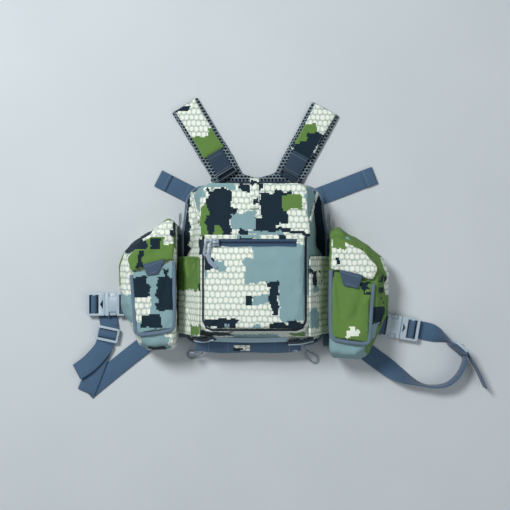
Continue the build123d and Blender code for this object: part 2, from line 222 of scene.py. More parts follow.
def scales(g, place):
    """Printed rows of pale rounded scales with soft grey-green outlines."""
    spot = g.drift(place, scale=130.0, detail=1.0, reach=(0.0034, 0.0034, 0.0))
    edge = g.times(bricks(g, spot, width=6.7, height=8.0, corner=2.7), 0.85)
    stops = ((0.0, "eff4e8"), (0.52, "e6ece0"), (0.72, "ccd6cb"), (0.86, "a9b7ae"), (1.0, "94a39c"))
    tone = g.ramp(edge, *((stop, rgb(code)) for stop, code in stops))
    fleck = g.times(g.noise(place, 380.0, 2.0), 0.28)
    return g.mix(fleck, tone, rgb("b9c4bc"))


def camo(name, base, patches=()):
    """Camouflage: a base, then stepped patches (tint, left, right, low, high) in mm on the cloth."""
    made, g = material(name)
    place = g.panel()
    cell = g.vector("SNAP", place, (0.0016, 0.0018, 0.003))
    spot = g.drift(cell, scale=62.0, detail=2.5, reach=(0.021, 0.019, 0.0))
    looks = {"scales": scales(g, place)}
    for tint, code in TINTS.items():
        if tint == base or any(patch[0] == tint for patch in patches):
            looks[tint] = cloth_tint(g, place, code)
    colour = looks[base]
    for tint, left, right, low, high in patches:
        centre = ((left + right) / 2 * MM, (low + high) / 2 * MM, 0.0)
        half = (abs(right - left) / 2 * MM, abs(high - low) / 2 * MM, 1.0)
        node = g.tree.nodes.new("ShaderNodeGroup")
        node.node_tree = PATCH
        for socket, value in zip(node.inputs, (spot, centre, half)):
            g.put(socket, value)
        colour = g.mix(node.outputs[0], colour, looks[tint])
    height = g.plus(weave(g, place), g.times(g.noise(place, 900.0, 3.0), 0.8))
    surface(g, colour, 0.85, height, depth=0.12, sheen=0.04)
    return made


def webbing(name, code, rib=1.9, tone=0.16, depth=0.25):
    """Woven tape: ribs across it in low chevrons, and a fine warp along it."""
    made, g = material(name)
    place = g.panel()
    x, y, _ = g.split(place)
    chevron = 6 * MM
    slant = g.plus(y, g.times(g.off_middle(g.math("DIVIDE", x, chevron)), chevron))
    ribs = g.wave(slant, rib * MM)
    warp = g.wave(x, 0.8 * MM)
    height = g.plus(g.times(ribs, 0.7), g.times(warp, 0.3))
    colour = cloth_tint(g, place, code, tone)
    colour = g.mix(g.times(height, 0.35), colour, toned(code, 0.45))
    surface(g, colour, 0.7, height, depth, sheen=0.2)
    return made


def grosgrain(name, code, rib=1.2, depth=0.15):
    """Thin binding tape with fine ribs."""
    return webbing(name, code, rib, 0.1, depth)


def spacer(name, thread, hole_shade, rim):
    """Air mesh: staggered rows of holes between knitted threads; the holes are painted dark as shade, and the
    threads' crests are painted lighter as a highlight.
    """
    made, g = material(name)
    place = g.panel()
    edge = bricks(g, place, width=5.0, height=4.3, corner=1.5)
    # painted shade fills the holes; painted highlight on the rim, where the threads stand highest
    tone = g.ramp(edge, (0.0, rgb(hole_shade)), (0.78, rgb(hole_shade)), (0.93, rgb(thread)), (1.0, rgb(rim)))
    knit = g.times(g.noise(place, 700.0, 3.0), 0.5)
    colour = g.mix(knit, tone, rgb(hole_shade))
    rise = g.add("ShaderNodeMapRange", edge, 0.74, 1.0, 0.0, 1.0)
    surface(g, colour, 0.85, g.plus(rise, g.times(knit, 0.4)), depth=1.1, sheen=0.2)
    return made


def moulded(name, code, roughness, metallic=0.0):
    """Moulded plastic, rubber or painted metal with a fine grain, and its convex edges painted lighter as a
    highlight.
    """
    made, g = material(name)
    place = g.place()
    colour = cloth_tint(g, place, code, 0.06)
    pointiness = g.add("ShaderNodeNewGeometry", out=7)
    # painted highlight: convex edges are made lighter
    edge_highlight = g.add("ShaderNodeMapRange", pointiness, 0.52, 0.62, 0.0, 0.35)
    colour = g.mix(edge_highlight, colour, tuple(min(1.0, c * 1.5 + 0.03) for c in rgb(code)[:3]) + (1.0,))
    rough = g.math("MULTIPLY_ADD", g.noise(place, 160.0, 3.0), 0.2, roughness - 0.1)
    surface(g, colour, rough, g.noise(place, 2600.0), 0.05, metallic, shine=0.5)
    return made


def braid(name, code):
    """Braided cord with dark flecks."""
    made, g = material(name)
    place = g.place()
    x, y, z = g.split(place)
    pitch = 1.5 * MM
    one = g.wave(g.plus(g.plus(x, y), z), pitch)
    two = g.wave(g.math("SUBTRACT", g.plus(y, z), x), pitch)
    twist = g.times(one, two)
    colour = g.mix(g.times(twist, 0.8), cloth_tint(g, place, code), rgb("27323f"))
    surface(g, colour, 0.75, twist, depth=0.25, sheen=0.2)
    return made


# ---- mesh tools
def new_object(name, data):
    made = bpy.data.objects.new(name, data)
    bpy.context.scene.collection.objects.link(made)
    return made


def bake(piece):
    """The piece with its modifiers applied."""
    graph = bpy.context.evaluated_depsgraph_get()
    mesh = bpy.data.meshes.new_from_object(piece.evaluated_get(graph), depsgraph=graph)
    piece.modifiers.clear()
    old = piece.data
    piece.data = mesh
    bpy.data.meshes.remove(old)
    return piece


def modified(piece, kind, **settings):
    """The piece with one modifier applied."""
    made = piece.modifiers.new(kind, kind)
    for key, value in settings.items():
        setattr(made, key, value)
    return bake(piece)


@contextmanager
def editing(mesh):
    """The mesh as a bmesh, written back at the end."""
    shape = bmesh.new()
    shape.from_mesh(mesh)
    yield shape
    shape.to_mesh(mesh)
    shape.free()


def welded(node, name):
    """Own copy of a CAD node's mesh, closed."""
    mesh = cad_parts[node].data.copy()
    mesh.materials.clear()
    with editing(mesh) as shape:
        bmesh.ops.remove_doubles(shape, verts=shape.verts, dist=1e-6)
    return new_object(name, mesh)


def cloth_body(node, name, voxel, smooth=2):
    """Copy of a CAD node as an even cloth mesh with its corners eased."""
    made = modified(welded(node, name), "REMESH", mode="VOXEL", voxel_size=voxel * MM)
    return modified(made, "SMOOTH", factor=0.5, iterations=smooth)


def swell(piece, cap):
    """Blows a pad up as cloth, each point moving at most cap(point) mm."""
    rest = [v.co.copy() for v in piece.data.vertices]
    cloth = piece.modifiers.new("Cloth", "CLOTH")
    cloth.settings.use_pressure = True
    cloth.settings.uniform_pressure_force = 4.0
    cloth.settings.effector_weights.gravity = 0
    for step in range(1, 21):
        bpy.context.scene.frame_set(step)
    bake(piece)
    bpy.context.scene.frame_set(1)
    for vertex, start in zip(piece.data.vertices, rest):
        move = vertex.co - start
        most = cap(start / MM) * MM
        if move.length > most:
            vertex.co = start + move * (most / move.length)


def reshape(piece, change):
    """Moves every point p (mm) to change(p, normal)."""
    normals = [v.normal.copy() for v in piece.data.vertices]
    for vertex, normal in zip(piece.data.vertices, normals):
        vertex.co = change(vertex.co / MM, normal) * MM
    piece.data.update()


def share(value):
    """The value held between 0 and 1."""
    return max(0.0, min(1.0, value))


def eased(value):
    """Smooth step from 0 to 1."""
    t = share(value)
    return t * t * (3 - 2 * t)


def dome(value, middle, reach):
    """1 at the middle, falling to 0 at reach."""
    return max(0.0, 1 - ((value - middle) / reach) ** 2)


def near(p, a, b, width):
    """1 on the line from a to b, falling to 0 a few widths away, and fading towards its ends."""
    a, b = Vector(a), Vector(b)
    run = b - a
    t = share((p - a).dot(run) / run.length_squared)
    d = (p - a - run * t).length / width
    return math.exp(-d * d) * (0.35 + 0.65 * math.sin(math.pi * t) ** 0.5)


def rumple(piece, amount, size, folds=(), seed=0.0):
    """Uneven hang of cloth: soft noise along the normal, and folds (a, b, width, height)."""
    shift = Vector((seed, seed * 1.7, seed * 2.3))

    def change(p, normal):
        rise = amount * noise.noise(p / size + shift)
        rise += amount * 0.5 * noise.noise(p / (size * 0.42) - shift)
        for a, b, width, height in folds:
            rise += height * near(p, a, b, width)
        return p + normal * rise

    reshape(piece, change)


def finer(piece):
    return modified(piece, "SUBSURF", levels=1, render_levels=1)


def lay_out(piece, top=0.0, lean=1.0):
    """Cloth layout in metres: the front as it lies, the walls folded outward round its edges."""
    mesh = piece.data
    layer = mesh.uv_layers.new(name="panel")
    for face in mesh.polygons:
        n = face.normal
        for i in face.loop_indices:
            x, y, z = mesh.vertices[mesh.loops[i].vertex_index].co
            down = max(0.0, top * MM - z) * lean
            if abs(n.z) <= 0.6 and abs(n.x) > abs(n.y):
                x += math.copysign(down, n.x)
            elif abs(n.z) <= 0.6:
                y += math.copysign(down, n.y)
            layer.data[i].uv = (x, y)
    return piece


def finish(piece, look, body=None, nodes=(), slot=None, blend=None, angle=None):
    """Material, shading, body, and the CAD nodes that the piece stands for."""
    mesh = piece.data
    mesh.materials.clear()
    for one in look if isinstance(look, list) else [look]:
        mesh.materials.append(one)
    mesh.polygons.foreach_set("use_smooth", [True] * len(mesh.polygons))
    if angle:
        mesh.set_sharp_from_angle(angle=math.radians(angle))
    if body:
        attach(piece, body)
    if blend:
        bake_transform(piece)
    if nodes:
        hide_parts(*nodes)
    return piece


def cover(piece, look, body, node, top, lean=1.0):
    """Layout and finish of a camouflage piece."""
    finish(lay_out(piece, top, lean), look, body, [node], "camo_fabric")


def line_inside(piece, middle):
    """Second material on the faces that look towards the middle of a hollow piece."""
    for face in piece.data.polygons:
        inward = Vector(middle) * MM - face.center
        face.material_index = 1 if face.normal.dot(inward.normalized()) > 0.2 else 0


def spline(points, step):
    """Even points on a smooth line through the given ones (mm in, metres out)."""
    knots = [Vector(p) for p in points]
    knots = [knots[0] * 2 - knots[1]] + knots + [knots[-1] * 2 - knots[-2]]
    line = []
    for p0, p1, p2, p3 in zip(knots, knots[1:], knots[2:], knots[3:]):
        runs = max(1, round((p2 - p1).length / step))
        for k in range(runs):
            t = k / runs
            line.append(0.5 * (2 * p1 + (p2 - p0) * t + (2 * p0 - 5 * p1 + 4 * p2 - p3) * t * t
                               + (3 * p1 - p0 - 3 * p2 + p3) * t ** 3) * MM)
    return line + [knots[-2] * MM]


def straight(points, step=2.5, closed=False):
    """Even points on the straight runs between the given ones (mm in, metres out)."""
    knots = [Vector(p) for p in points]
    if closed:
        knots.append(knots[0])
    line = []
    for a, b in zip(knots, knots[1:]):
        runs = max(1, round((b - a).length / step))
        line += [(a + (b - a) * (k / runs)) * MM for k in range(runs)]
    if not closed:
        line.append(knots[-1] * MM)
    return line


def frames(line, ups, closed=False):
    """Side and up directions at each point of a line. ups is a vector, an even list of them, or a
    function of the share of the way along and the direction there."""
    made = []
    several = isinstance(ups, list)
    for i, p in enumerate(line):
        before = line[i - 1] if (i or closed) else p
        after = line[(i + 1) % len(line)] if (closed or i < len(line) - 1) else p
        ahead = (after - before).normalized()
        if several:
            t = i / (len(line) - 1) * (len(ups) - 1)
            k = min(int(t), len(ups) - 2)
            up = Vector(ups[k]).lerp(Vector(ups[k + 1]), t - k)
        elif callable(ups):
            up = ups(i / (len(line) - 1), ahead)
        else:
            up = Vector(ups)
        side = ahead.cross(up).normalized()
        made.append((side, side.cross(ahead).normalized()))
    return made


def tape_section(width, thick):
    """Flat section with soft edges, a little fuller in its middle."""
    w, t = width / 2, thick / 2
    e = min(t, w * 0.5)
    half = [(0, t * 1.04), (w - e, t), (w - e * 0.35, t * 0.75), (w, 0)]
    row = [(-x, y) for x, y in half[:0:-1]] + half
    return row + [(x, -y) for x, y in reversed(row[1:-1])]


def round_section(radius, sides=10):
    turns = [k * math.tau / sides for k in range(sides)]
    return [(radius * math.cos(turn), radius * math.sin(turn)) for turn in turns]


def sweep(name, line, section, ups=UP, closed=False):
    """Section (mm) carried along a line (metres). The layout has the width in x and the length in y."""
    mesh = bpy.data.meshes.new(name)
    half = [max(abs(v[k]) for v in section) * MM for k in (0, 1)]
    count = len(section)
    with editing(mesh) as shape:
        layer = shape.loops.layers.uv.new("panel")
        rings, run, length = [], 0.0, []
        for i, (p, (side, up)) in enumerate(zip(line, frames(line, ups, closed))):
            rest = abs(side.z) * half[0] + abs(up.z) * half[1] + ON_FLOOR * MM
            p = Vector((p.x, p.y, max(p.z, rest)))
            run += (p - line[i - 1]).length if i else 0.0
            length.append(run)
            rings.append([shape.verts.new(p + side * (a * MM) + up * (b * MM)) for a, b in section])
        pairs = list(zip(range(len(rings) - 1), range(1, len(rings))))
        if closed:
            pairs.append((len(rings) - 1, 0))
        for i, j in pairs:
            far = length[j] if j else run + (line[0] - line[-1]).length
            for k in range(count):
                n = (k + 1) % count
                face = shape.faces.new((rings[i][k], rings[i][n], rings[j][n], rings[j][k]))
                spots = ((k, length[i]), (n, length[i]), (n, far), (k, far))
                for loop, (m, v) in zip(face.loops, spots):
                    loop[layer].uv = (section[m][0] * MM, v)
        if not closed:
            for ring, v in ((rings[0], 0.0), (rings[-1], run)):
                face = shape.faces.new(ring)
                for loop, (a, _) in zip(face.loops, section):
                    loop[layer].uv = (a * MM, v)
        bmesh.ops.recalc_face_normals(shape, faces=shape.faces)
    return new_object(name, mesh)


def band(name, points, width, thick, look, body=None, ups=UP, step=3.0, **more):
    """Tape or webbing on a smooth line through the points, with its finish."""
    made = sweep(name, spline(points, step), tape_section(width, thick), ups)
    return finish(made, look, body, **more)


def beads(name, spots, size):
    """Small rounded grains at spots (place, ahead, up), each (along, across, high) mm in size."""
    seed = bmesh.new()
    bmesh.ops.create_icosphere(seed, subdivisions=1, radius=0.5)
    corners = [v.co.copy() for v in seed.verts]
    faces = [[v.index for v in f.verts] for f in seed.faces]
    seed.free()
    points, polygons = [], []
    for place, ahead, up in spots:
        ahead = ahead.normalized()
        side = ahead.cross(up).normalized()
        top = side.cross(ahead)
        start = len(points)
        for c in corners:
            x, y, z = (value * reach * MM for value, reach in zip(c, size))
            points.append(place + ahead * x + side * y + top * z)
        polygons += [[start + i for i in face] for face in faces]
    mesh = bpy.data.meshes.new(name)
    mesh.from_pydata([tuple(p) for p in points], [], polygons)
    mesh.update()
    made = new_object(name, mesh)
    return lay_out(made)


def along_line(line, pitch, ups=UP):
    """(place, ahead, up) at every pitch mm of a line."""
    made = frames(line, ups)
    spots, left = [], 0.0
    for i in range(len(line) - 1):
        run = line[i + 1] - line[i]
        while left < run.length:
            spots.append((line[i] + run.normalized() * left, run, made[i][1]))
            left += pitch * MM
        left -= run.length
    return spots


def stitches(name, points, body, ups=UP, route=straight, pitch=3.2):
    """A row of thread along a route through the points."""
    made = beads(name, along_line(route(points, 2.0), pitch, ups), STITCH)
    finish(made, THREAD, body)


def plate(name, outline, z_low, z_high, ease):
    """Flat sewn patch on an outline, with rolled edges."""
    mesh = bpy.data.meshes.new(name)
    with editing(mesh) as shape:
        face = shape.faces.new([shape.verts.new((x * MM, y * MM, z_low * MM)) for x, y in outline])
        face.normal_update()
        if face.normal.z < 0:
            face.normal_flip()
        top = bmesh.ops.extrude_face_region(shape, geom=[face])
        moved = [v for v in top["geom"] if isinstance(v, bmesh.types.BMVert)]
        bmesh.ops.translate(shape, verts=moved, vec=(0, 0, (z_high - z_low) * MM))
        bmesh.ops.recalc_face_normals(shape, faces=shape.faces)
    made = modified(new_object(name, mesh), "BEVEL", width=ease * MM, segments=3, limit_method="ANGLE")
    return lay_out(made, z_high)


def hard_part(node, look, body, ease):
    """Rounded copy of a moulded or metal CAD part."""
    made = welded(node, node + "_shown")
    flat, edge = math.radians(3), math.radians(32)
    with editing(made.data) as shape:
        bmesh.ops.dissolve_limit(shape, angle_limit=flat, verts=shape.verts, edges=shape.edges)
    modified(made, "BEVEL", width=ease * MM, segments=2, limit_method="ANGLE", angle_limit=edge)
    finish(made, look, body, [node], angle=38.0)


# ---- materials
THREAD = webbing("thread", "9fb0bd")
WEBBING = webbing("strap_webbing", "45627f")
# Dark webbing; also the colour of strips of painted shade: the front seam's shadow line and the shade under
# the lid's edges.
DARK_WEBBING_AND_SHADE = webbing("dark_webbing_and_shade", "223446")
WEBBING_ARM = webbing("arm_webbing", "2c4054")
BINDING = grosgrain("grosgrain", "61788c")
TAB = grosgrain("tab_grosgrain", "3f546c")
BAR = grosgrain("light_grosgrain", "abc6d3")
ZIP_TAPE = grosgrain("zip_tape", "34506c", rib=1.3, depth=0.12)
MESH = spacer("air_mesh", thread="566c7d", hole_shade="0c151e", rim="8ea6b4")
COIL = moulded("zip_coil", "22304a", 0.45)
PLASTIC = moulded("buckle_plastic", "a0b2be", 0.42)
PLASTIC_DARK = moulded("dark_plastic", "2a3744", 0.4)
RUBBER = moulded("pull_rubber", "7d8ea0", 0.6)
METAL = moulded("zip_metal", "8796a6", 0.38, metallic=0.6)
CORD = braid("pull_cord", "8f9da8")
LINING = camo("lining", "teal")

FRONT = camo("camo_front", "scales", [
    ("teal", -4, 70, 9, 26), ("teal", -14, 36, -22, 9), ("teal", 31, 70, -72, 12),
    ("teal", -55, -36, -6, 9), ("teal", -3, 20, -50, -38), ("dark", 20, 30, -64, -20),
    ("dark", 13, 24, -28, -22), ("dark", -14, -4, -50, -40), ("dark", -70, -54, -6, 12),
    ("teal", -70, -62, -16, -5), ("dark", -70, -34, -78, -68), ("dark", -50, -24, -84, -69),
    ("teal", -38, -33, -82, -76), ("dark", 20, 62, -86, -74), ("dark", 40, 52, -76, -70),
    ("teal", -3, 4, -84, -75), ("dark", 0, 20, -94, -89),
])
LID = camo("camo_lid", "scales", [
    ("dark", -63, -31, 38, 96), ("dark", -34, -24, 60, 74), ("dark", 6, 39, 54, 90),
    ("dark", 22, 46, 86, 96), ("dark", -3, 30, 45, 58), ("dark", 10, 45, 41, 48),
    ("green", 36, 61, 73, 92), ("teal", -30, 1, 47, 68), ("teal", -8, 34, 38, 45),
    ("dark", -18, -8, 38, 47), ("green", -53, -42, 38, 48), ("teal", -70, -26, 97, 112),
    ("green", -69, -62, 30, 76), ("dark", -22, 10, 95, 103), ("dark", 45, 70, 38, 43),
    ("teal", -160, -66, 88, 140), ("teal", 66, 160, 60, 140), ("teal", -130, -74, 70, 88),
    ("dark", -60, -20, 112, 150), ("green", 10, 50, 118, 150),
])
POUCH = camo("camo_pouch", "scales", [
    ("dark", -84, -60, 41, 60), ("dark", -88, -66, 14, 36), ("teal", 60, 190, -40, 120),
    ("dark", -60, 10, 100, 150), ("green", 47, 65, -122, -100), ("teal", -30, 30, -160, -110),
    ("dark", -80, -30, -120, -95),
])
POCKETS = {
    "left": camo("camo_pocket_left", "green", [
        ("scales", -200, -40, -110, -32), ("dark", -84, -60, -32, -22), ("green", -112, -68, -93, -76),
    ]),
    "right": camo("camo_pocket_right", "scales", [
        ("dark", 60, 92, -11, -4), ("dark", 90, 106, -27, -9), ("teal", 92, 112, -34, -27),
        ("teal", 60, 112, -82, -58),
    ]),
}
GUSSET = camo("camo_gusset", "dark", [
    ("teal", 60, 140, -74, 4), ("scales", 60, 140, -100, -74), ("scales", -140, -60, -100, -30),
    ("teal", -60, 60, -150, -80), ("teal", -40, 50, 100, 150), ("scales", -90, -60, 12, 98),
])
SIDE = {
    "left": camo("camo_side_left", "scales", [
        ("dark", -200, -137, 16, 60), ("teal", -220, -152, -78, -38), ("teal", -152, -112, -130, -92),
        ("dark", -140, -118, -150, -112), ("green", -116, -96, 20, 40), ("dark", -108, -96, 36, 60),
        ("green", -134, -100, 64, 110), ("green", -250, -200, -30, 20),
    ]),
    "right": camo("camo_side_right", "green", [
        ("dark", 166, 182, -24, -14), ("dark", 166, 180, -38, -31), ("dark", 166, 180, -50, -44),
        ("dark", 146, 190, -80, -56), ("teal", 60, 150, -220, -94), ("teal", 140, 180, -100, -78),
        ("scales", 190, 250, -40, 20), ("dark", 104, 112, 20, 34), ("dark", 200, 240, -120, -60),
    ]),
}
PANEL = {
    "left": camo("camo_panel_left", "teal", [
        ("scales", -162, -136, -74, -40), ("dark", -162, -138, -41, -15),
        ("dark", -128, -106, -60, -14), ("dark", -150, -122, -82, -65), ("dark", -120, -112, -14, -4),
    ]),
    "right": camo("camo_panel_right", "green", [
        ("dark", 138, 150, -38, -22), ("green", 140, 150, -34, -30), ("dark", 100, 106, -16, -2),
        ("cream", 117, 134, -96, -85), ("cream", 122, 130, -90, -79),
    ]),
}
FLAP = {
    "left": camo("camo_flap_left", "green", [
        ("dark", -134, -124, 20, 36), ("dark", -152, -145, -4, 18), ("dark", -175, -141, 21, 50),
        ("scales", -118, -90, 24, 60), ("scales", -138, -114, 38, 60), ("dark", -112, -104, 34, 46),
    ]),
    "right": camo("camo_flap_right", "scales", [
        ("dark", 104, 110, 0, 12), ("green", 100, 116, 22, 50), ("green", 112, 150, 36, 60),
    ]),
}
ARM = {
    "left": camo("camo_arm_left", "scales", [
        ("green", -120, -40, 140, 176), ("green", -64, -40, 140, 190), ("dark", -120, -88, 210, 219),
    ]),
    "right": camo("camo_arm_right", "scales", [
        ("green", 50, 84, 160, 194), ("dark", 72, 120, 160, 184), ("dark", 50, 84, 140, 168),
    ]),
}


# ---- main pack
def half_width(z):
    """Half the main pouch's width at a height."""
    low, high = 93.0, 65.5
    return low + (z - FOOT) / (FRONT_TOP - FOOT) * (high - low)


def drawn_in(p):
    """The soft pack draws in towards its upper corners."""
    most = 0.045 + 0.02 * eased((p.z - 24) / 16) - 0.035 * eased((p.z - 40) / 55)
    return Vector((p.x * (1 - most * eased((p.y - 40) / 46)), p.y, p.z))


def waisted(p):
    """Above the stretch pockets the main pouch stands in from the edge of the back."""
    inset = 8.5 * eased((p.y - 12) / 16) * max(0.0, (64 - p.z) / 42) * eased((abs(p.x) - 40) / 30)
    return drawn_in(Vector((p.x - math.copysign(inset, p.x), p.y, p.z)))


def on_floor(p, normal):
    return Vector((p.x, p.y, max(ON_FLOOR, p.z)))


def raised(height):
    return Vector((0, 0, height))


back = cloth_body("back_panel", "back_pad", 4.0, 3)
swell(back, lambda p: 3.0)


def quilted(p, normal):
    """Sewn channels in the wearer's side, and a flat rest."""
    channel = 0.0
    if normal.z < -0.3:
        channel = 1.8 * sum(near(p, (x, -90, 0), (x, 90, 0), 5) for x in (-42, 42))
    return drawn_in(on_floor(p + raised(channel), normal))


reshape(back, quilted)
finer(back)
lay_out(back, BACK_TOP)
finish(back, MESH, "pack", ["back_panel"], "spacer_mesh")

gusset = cloth_body("rear_gusset", "gusset_wall", 2.0)
reshape(gusset, lambda p, n: drawn_in(p))
rumple(gusset, 0.5, 16, seed=3.0)
cover(gusset, GUSSET, "pack", "rear_gusset", FOOT)


def ring_line(grow, z):
    """Rounded rectangle round the back panel, grown by some mm."""
    w, h, r = 97 + grow, 107 + grow, 26 + grow
    points = []
    for quarter, (x, y) in enumerate(((1, 1), (-1, 1), (-1, -1), (1, -1))):
        for k in range(7):
            a = math.radians(quarter * 90 + k * 15)
            points.append((x * (w - r) + r * math.cos(a), y * (h - r) + r * math.sin(a), z))
    return points


def piping_line(grow, z):
    """The ring with its long sides divided, drawn in like the pack."""
    return [drawn_in(p / MM) for p in straight(ring_line(grow, z), 6.0, True)]


wall = plate("rear_cover", [p.xy for p in piping_line(-1.4, FOOT)], 20.6, 21.9, 0.4)
rumple(wall, 0.4, 20, seed=4.0)
finish(wall, GUSSET, "pack")


def zip_run(grow, z):
    """The zip's line: down one side, round the bottom and up the other side."""
    corners = [p for p in ring_line(grow, z) if p[1] < 0]
    w = 97 + grow
    return [(0.6 - w, 60, z), (-w, 40, z)] + corners + [(w, 40, z), (w - 0.6, 60, z)]


upright = [(y, x) for x, y in tape_section(7.6, 1.3)]
tape = sweep("rear_zip_tape", straight(zip_run(0.7, ZIP_Z), 2.5), upright)
finish(tape, ZIP_TAPE, "pack", ["perimeter_zip"], "zip_tape")
teeth = along_line(straight(zip_run(1.7, ZIP_Z), 2.0), 1.7)
teeth = [(place, ahead.cross(UP).normalized(), UP) for place, ahead, _ in teeth]
finish(beads("rear_zip_teeth", teeth, (1.8, 1.0, 3.4)), COIL, "pack")

line = straight(piping_line(0.7, 23.6), 2.5, True)
piping = sweep("rear_piping", line, round_section(1.45), closed=True)
finish(piping, BINDING, "pack", ["perimeter_piping"], "binding")
hem = sweep("rear_zip_hem", straight(zip_run(0.9, 12.4), 2.5), round_section(0.9, 8))
finish(hem, BINDING, "pack", slot="binding")

shell = cloth_body("main_pouch", "pouch_body", 2.0, 3)
reshape(shell, lambda p, n: waisted(p))
rumple(shell, 0.9, 30, [
    ((-84, 30, 60), (-92, -20, 28), 5, -0.8), ((84, 20, 55), (90, 60, 30), 6, -0.8),
    ((-40, -104, 30), (30, -100, 34), 6, -0.8),
], seed=1.0)
cover(shell, [POUCH, LINING], "pack", "main_pouch", FRONT_TOP, 0.72)
line_inside(shell, (0, 5, 58))

POCKET_FOLDS = {
    "left": [
        ((-76, 6, 76), (-88, -24, 54), 4.5, -3.6), ((-92, 8, 50), (-87, -24, 56), 3.2, 2.8),
        ((-96, -40, 42), (-84, -74, 58), 4, -2.2),
    ],
    "right": [((80, 4, 70), (88, -30, 52), 5, -1.2), ((94, -60, 40), (82, -80, 66), 5, -1.0)],
}
POCKET_EDGE = [(72.8, 10.2, 82.6), (80, 10.4, 69.8), (88, 10.4, 55.4), (96, 10.2, 41), (102.6, 9.8, 29)]
for side, sign in SIDES.items():
    pocket = cloth_body(f"stretch_pocket_{side}", f"side_pocket_{side}", 1.3)
    rumple(pocket, 0.9, 22, POCKET_FOLDS[side], seed=5.0 + sign)
    cover(pocket, POCKETS[side], "pack", f"stretch_pocket_{side}", FRONT_TOP, 0.8)
    edge = [(sign * x, y, z) for x, y, z in POCKET_EDGE]
    band(f"pocket_hem_{side}", edge, 1.6, 3.4, POCKETS[side], "pack", (0, 1, 0))


def zip_clear(p):
    """Free travel of the front cloth, held down round the zip."""
    away = max(abs(p.y - 30) - 8, abs(p.x) - 57, 0)
    return min(2.4, 0.2 + away * 0.16)


front = cloth_body("front_pocket", "front_panel", 2.2)
swell(front, zip_clear)


def full_front(p, normal):
    """A shallow crown over what the pocket holds, flat round the zip."""
    if normal.z < 0.2:
        return p
    return p + raised(2.6 * dome(p.x, 0, 66) * dome(p.y, -28, 56))


reshape(front, full_front)
rumple(front, 0.8, 28, [
    ((-60, 8, 95), (-30, 2, 96), 5, -0.7), ((58, 6, 95), (36, -10, 97), 6, -0.6),
    ((-64, -60, 94), (-40, -74, 95), 6, -0.8),
], seed=2.0)
finer(front)
cover(front, FRONT, "pack", "front_pocket", FRONT_TOP)

# Painted shadow: a dark strip along the sides and bottom of the front pocket's base, where its seam meets the
# pouch.
half = [(66.4, 37.5), (66.6, -70), (62, -80), (54, -83)]
seam_shadow_line = [(-x, y, 86.6) for x, y in half] + [(x, y, 86.6) for x, y in reversed(half)]
finish(sweep("front_seam_shadow", straight(seam_shadow_line, 2.5), tape_section(2.6, 1.2)), DARK_WEBBING_AND_SHADE, "pack")

for end, y, nodes in (("low", 27.0, ["front_zip_tape"]), ("high", 33.0, [])):
    line = [(x, y, 94.1) for x in (-54, 0, 54)]
    band(f"front_tape_{end}", line, 5.4, 1.0, ZIP_TAPE, "pack", nodes=nodes, slot="zip_tape")
teeth = []
for y, start in ((29.3, -53), (30.9, -52.2)):
    line = straight([(start, y, FRONT_TOP), (53, y, FRONT_TOP)], 2.0)
    teeth += [(place, Vector((0, 1, 0)), UP) for place, _, _ in along_line(line, 1.6)]
finish(beads("front_zip_teeth", teeth, (2.3, 0.95, 1.3)), COIL, "pack", slot="zip_tape")
for end, y in (("low", 24.0), ("high", 36.0)):
    stitches(f"front_zip_seam_{end}", [(-56, y, 95.6), (56, y, 95.6)], "pack")

# Bottom: light bar, webbing with its loops, corner tabs
lean = (0, -0.52, 0.85)
line = [(-62, -98.0, 48.0), (-10, -99.6, 48.0), (46, -98.6, 48.0)]
band("bottom_bar", line, 7.8, 1.6, BAR, "pack", (0, -0.5, 0.87))
line = [(-80, -107.0, 35), (-60, -109.6, 34.4), (-40, -110.8, 34), (-9, -109.8, 34), (26, -110.8, 34),
        (48, -109.6, 34.4), (62, -107.0, 35)]
band("bottom_strap", line, 19.5, 1.7, WEBBING, "pack", lean, nodes=["bottom_webbing"], slot="webbing")
for x in (-62, -36, 27, 47):
    stitches(f"bottom_tack_{x + 100}", [(x, -118.0, 30.4), (x, -103.0, 39.6)], "pack", lean, pitch=2.4)
line = [(-28, -111.6, 35.2), (-17, -111.4, 35.2), (-6, -111.6, 35.2)]
window_look = camo("camo_window", "scales", [("dark", -2.4, 2.4, -4, 13)])
band("bottom_window", line, 9.5, 0.9, window_look, "pack", lean)
CORNERS = {
    "left": [(-81, -98.5, 43), (-68, -99.5, 51), (-54, -95.5, 61)],
    "right": [(79, -99.0, 44), (62, -102.6, 46), (45, -103.4, 47)],
}
lean = (0, -0.82, 0.57)
for side, line in CORNERS.items():
    band(f"corner_fold_{side}", line, 12, 2.2, DARK_WEBBING_AND_SHADE, "pack", lean,
         nodes=[f"corner_tab_{side}"], slot="webbing")
    edge = [(x, y - 2.4, z + 2.2) for x, y, z in line]
    band(f"corner_piping_{side}", edge, 1.8, 1.4, BAR, "pack", lean)

# ---- lid
lid = cloth_body("lid", "lid_cloth", 1.5, 3)
reshape(lid, lambda p, n: drawn_in(p))
rumple(lid, 1.1, 26, [
    ((-66, 100, 94), (-30, 106, 94), 5, 1.0), ((70, 108, 88), (60, 70, 95), 4, 0.8),
    ((-72, 96, 84), (-66, 60, 92), 4, 0.7),
], seed=7.0)


def lid_crown(p, normal):
    """The lid's top rises over what the pouch holds."""
    return p + raised(1.8 * dome(p.x, 0, 70) * dome(p.y, 74, 38)) if p.z > 88 else p


